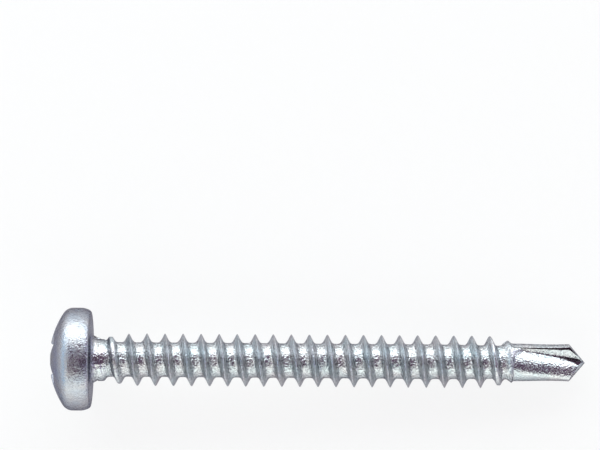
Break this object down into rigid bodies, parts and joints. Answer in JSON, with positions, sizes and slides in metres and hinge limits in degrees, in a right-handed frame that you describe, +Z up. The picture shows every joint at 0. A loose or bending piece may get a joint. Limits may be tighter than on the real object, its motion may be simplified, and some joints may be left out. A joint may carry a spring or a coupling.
{
  "type": "self drilling screw",
  "caption": "Pan head self-drilling screw with a cross recess, a right-hand thread along the whole shank and a pinched drill point.",
  "frame": {"origin": "centre of the bottom of the bounding box, on the surface that the screw lies on", "axes": "+Z up, +X from the head towards the tip, +Y to the side. The screw's own axis lies in the X-Z plane and leans down by 3.53 degrees towards the tip, as the screw rests on its head and its thread"},
  "size_m": [0.0414, 0.008, 0.008],
  "materials": {
    "zinc_plate": "bright blue-white zinc plate, semi-gloss, with a fine speckled grain"
  },
  "bodies": {
    "root": {"screw": "zinc_plate"}
  },
  "joints": []
}
